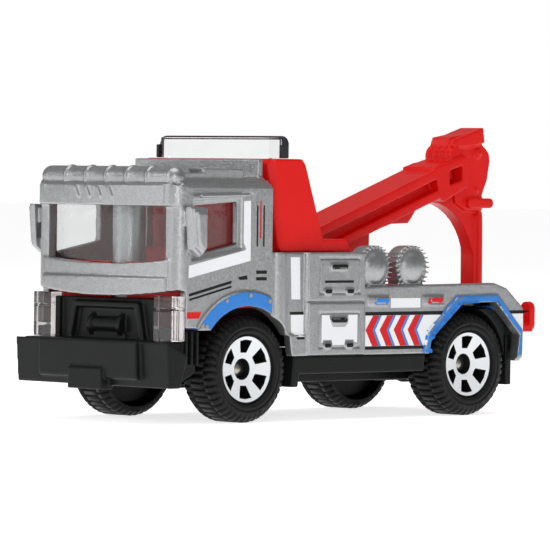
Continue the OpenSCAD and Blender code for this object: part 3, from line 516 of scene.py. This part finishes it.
archCentre = (-0.8, frontAxle.z / mm - 0.4)
rivets = [(-7.75, 11.8), (-4.5, 14.9), (-0.55, 15.5), (2.65, 14.75)]
firstTip, chevronPitch = 19.65, 2.49
prints = {
    # ink: list of (layer, loops), in mm from the front axle
    "white": [
        (0, [[(-1.46, 26.9), (-0.3, 26.95), (-0.22, 19.7), (-10.48, 17.62), (-10.43, 19.11),
            (-1.2, 20.95), (-1.0, 21.15), (-1.45, 21.9)]]),
        (0, [[(6.85, 20.1), (8.4, 20.1), (8.55, 14.95), (7.05, 14.95)]]),
        (0, [[(6.95, 13.05), (9.1, 13.05), (9.1, 10.38), (7.66, 10.38), (7.48, 10.73), (7.05, 10.95)]]),
        (0, [[(19.62, 12.85), (33.1, 12.85), (30.75, 10.75), (30.3, 9.05), (19.62, 9.05)]]),
        (0, [[(24.1, 14.98), (29.35, 14.98), (29.35, 13.78), (24.1, 13.78)]]),
        (0, [[(45.95, 12.85), (48.75, 12.85), (48.75, 10.2), (48.55, 10.4)]]),
        (0, [[(11.7, 13.0), (13.0, 13.0), (13.2, 12.0), (13.7, 11.55), (15.75, 11.55), (16.25, 12.0),
            (16.35, 13.0), (17.9, 13.0), (17.88, 9.6), (17.4, 9.6), (17.25, 9.95), (15.8, 9.95), (15.65, 9.3),
            (13.6, 9.3), (13.45, 9.95), (12.0, 9.95), (11.85, 9.6), (11.7, 9.6)]]),
    ],
    "blue": [
        (0, [circle(9.8, 40, archCentre, 66, 141) + circle(8.16, 36, archCentre, 61, 141)[::-1]]),
        (0, [[(29.85, 8.1), (29.95, 9.2), (30.4, 10.8), (35.85, 15.15), (43.4, 15.35), (48.6, 10.45),
            (48.15, 7.55), (47.15, 7.6), (47.6, 10.25), (42.85, 14.4), (36.35, 14.2), (31.45, 10.35),
            (31.0, 9.1), (30.9, 8.1)]]),
        (0, [[(20.95, 14.4), (21.35, 14.95), (23.35, 15.0), (23.45, 14.6), (23.35, 14.25), (21.2, 14.2)]]),
    ] + [(0.02, [[(t + 2.4, 12.84), (t + 2.85, 12.84), (t + 1.68, 11.03), (t + 2.75, 9.06), (t + 2.3, 9.06),
        (t + 1.25, 11.03)]]) for t in (firstTip + chevronPitch * i for i in range(4))],
    "red": [
        (0, [[(-10.65, 13.55), (-8.3, 13.55), (-8.75, 12.76), (-10.63, 12.76)]]),
        (0, [[(30.5, 14.4), (30.9, 14.95), (32.9, 15.0), (33.0, 14.6), (32.9, 14.25), (30.7, 14.2)]]),
    ] + [(0.02, [[(t + 1.3, 12.84), (t + 2.4, 12.84), (t + 1.25, 11.03), (t + 2.3, 9.06), (t + 1.2, 9.06),
        (t, 11.05)]]) for t in (firstTip + chevronPitch * i for i in range(4))],
    "black": [
        (0, [[(19.62, 13.3), (32.0, 13.32), (33.65, 13.32), (33.15, 12.87), (19.62, 12.87)]]),
        (0, [[(19.62, 9.03), (30.25, 9.03), (30.1, 8.62), (19.62, 8.62)]]),
        (0, [[(6.75, 13.43), (9.1, 13.43), (9.1, 13.07), (6.9, 13.07)]]),
        (0, [[(7.7, 10.36), (9.1, 10.36), (9.1, 10.05), (7.88, 10.05)]]),
        (0, [[(45.5, 13.28), (48.7, 13.28), (48.75, 12.87), (45.9, 12.87)]]),
        (0, [[(-2.33, 17.7), (-0.81, 17.93), (-0.72, 17.41), (-2.01, 17.36)]]),
        # plain stripes where the toy carries words and numbers
        (0, [[(-10.4, 15.75), (-3.4, 17.3), (-3.4, 16.95), (-10.4, 15.4)]]),
        (0, [[(-10.3, 15.15), (-3.4, 16.7), (-3.4, 16.45), (-10.3, 14.9)]]),
        (0, [[(0.75, 18.5), (2.5, 18.5), (2.5, 18.1), (0.75, 18.1)]]),
        (0, [[(0.75, 17.7), (2.5, 17.7), (2.5, 17.3), (0.75, 17.3)]]),
        (0, [[(0.75, 26.4), (0.95, 26.4), (0.95, 21.4), (0.75, 21.4)]]),
        (0, [[(1.85, 26.4), (2.05, 26.4), (2.05, 21.4), (1.85, 21.4)]]),
        (0, [[(12.2, 17.25), (17.2, 17.25), (17.2, 16.95), (12.2, 16.95)]]),
    ],
}
prints["red"].append((0, [[(1.3, 26.9), (1.5, 26.9), (1.5, 22.4), (1.3, 22.4)]]))
fittings = {
    # ends of the round slots in black: ends in Y, heights, radius
    "handle": ([(13.58, 15.72)], (18.92, 12.37), 0.31),
    "latch": ([(12.4, 13.05), (16.2, 16.85)], (15.9, 9.25), 0.25),
}
for spans, heights, radius in fittings.values():
    for height in heights:
        for start, stop in spans:
            prints["black"].append((0, [circle(radius, 8, (start, height), 90, 270)
                + circle(radius, 8, (stop, height), -90, 90)]))

prints["silver"] = [(0.1, [circle(0.27, 12, rivet)]) for rivet in rivets]
inks["silver"] = finishes["silver_paint"]

castTree = treeOf(pieces["cast_body"].data)
for inkName, shapes in prints.items():
    sheet = bmesh.new()
    for sideSign in (1, -1):
        for layer, loops in shapes:
            drape(sheet, castTree, loops, sideSign, layer, 0.3)
    printed("print_" + inkName, sheet, inkName, "truck")
print("prints laid")


studio = {
    "floor": 8.0, "glow": 0.74, "backdrop": 1.0, "sky": 0.25,
    "lights": {
        # name: place, aim (metres), size, power
        "overhead": ((0.0, -0.05, 0.5), (0, 0, 0), 0.5, 1.5),
        "front": ((-0.25, -0.5, 0.22), (0, 0, 0.015), 0.3, 0.7),
        "glint": ((0.40, -0.36, 0.16), (0, 0, 0.015), 0.1, 0.55),
    },
}


def addLight(name, place, aim, size, power):
    data = bpy.data.lights.new(name, "AREA")
    data.shape, data.size, data.energy = "SQUARE", size, power
    lamp = bpy.data.objects.new(name, data)
    lamp.location = place
    lamp.rotation_mode = "QUATERNION"
    lamp.rotation_quaternion = (Vector(aim) - Vector(place)).to_track_quat("-Z", "Y")
    scene.collection.objects.link(lamp)


def addFloor(width, glow):
    shape = bmesh.new()
    bmesh.ops.create_grid(shape, x_segments=8, y_segments=8, size=width / 2)
    mesh = bpy.data.meshes.new("floor")
    shape.to_mesh(mesh)
    shape.free()
    floor = bpy.data.objects.new("floor", mesh)
    scene.collection.objects.link(floor)
    s = Shader("floor_paper")
    paper = s.noise(30, 2)
    mesh.materials.append(s.finish({"Base Color": s.mix(paper, (0.88,) * 3, (0.92,) * 3), "Roughness": 0.9,
        "Specular IOR Level": 0.1, "Emission Color": (1, 1, 1), "Emission Strength": glow}))


def addSky(spec):
    # a white backdrop for the eye, also through clear plastic, and a dimmer sky that lights the toy
    world = bpy.data.worlds.new("studio")
    scene.world = world
    world.use_nodes = True
    tree = world.node_tree
    seen = tree.nodes.new("ShaderNodeLightPath")
    bright = tree.nodes["Background"]
    dim = tree.nodes.new("ShaderNodeBackground")
    either = tree.nodes.new("ShaderNodeMath")
    either.operation = "MAXIMUM"
    choice = tree.nodes.new("ShaderNodeMixShader")
    bright.inputs["Color"].default_value = dim.inputs["Color"].default_value = (1, 1, 1, 1)
    bright.inputs["Strength"].default_value = spec["backdrop"]
    dim.inputs["Strength"].default_value = spec["sky"]
    tree.links.new(seen.outputs["Is Camera Ray"], either.inputs[0])
    tree.links.new(seen.outputs["Is Transmission Ray"], either.inputs[1])
    tree.links.new(either.outputs[0], choice.inputs[0])
    tree.links.new(dim.outputs[0], choice.inputs[1])
    tree.links.new(bright.outputs[0], choice.inputs[2])
    tree.links.new(choice.outputs[0], tree.nodes["World Output"].inputs["Surface"])


addSky(studio)
addFloor(studio["floor"], studio["glow"])
for name, spec in studio["lights"].items():
    addLight(name, *spec)
print("studio ready")
